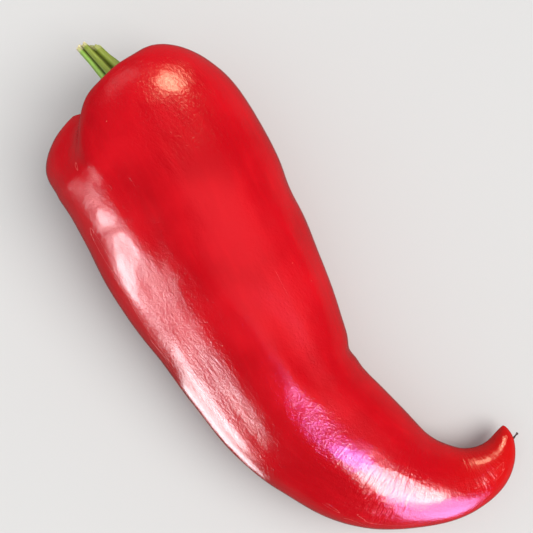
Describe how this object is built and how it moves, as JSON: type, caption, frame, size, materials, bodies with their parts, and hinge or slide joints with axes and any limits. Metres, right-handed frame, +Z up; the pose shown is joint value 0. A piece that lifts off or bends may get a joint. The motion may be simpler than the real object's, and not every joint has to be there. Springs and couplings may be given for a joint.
{
  "type": "pointed sweet pepper",
  "caption": "Long red sweet pepper with a lobed shoulder, a tapering body that curls to a pointed tip, and a short ribbed green stem, lying on its side.",
  "frame": {"origin": "middle of the pepper's bounding box on the surface it lies on", "axes": "+X from the stem to the tip, +Y towards the side that the tip curls to, +Z up"},
  "size_m": [0.1984, 0.0786, 0.0504],
  "materials": {
    "skin": "glossy waxy red skin, slightly wrinkled",
    "calyx": "satin leaf green",
    "stem": "satin ribbed green with a dry cream cut end",
    "style": "dry dark brown"
  },
  "bodies": {
    "root": {"fruit": "skin", "calyx": "calyx", "stem": "stem", "style_tip": "style"}
  },
  "joints": []
}
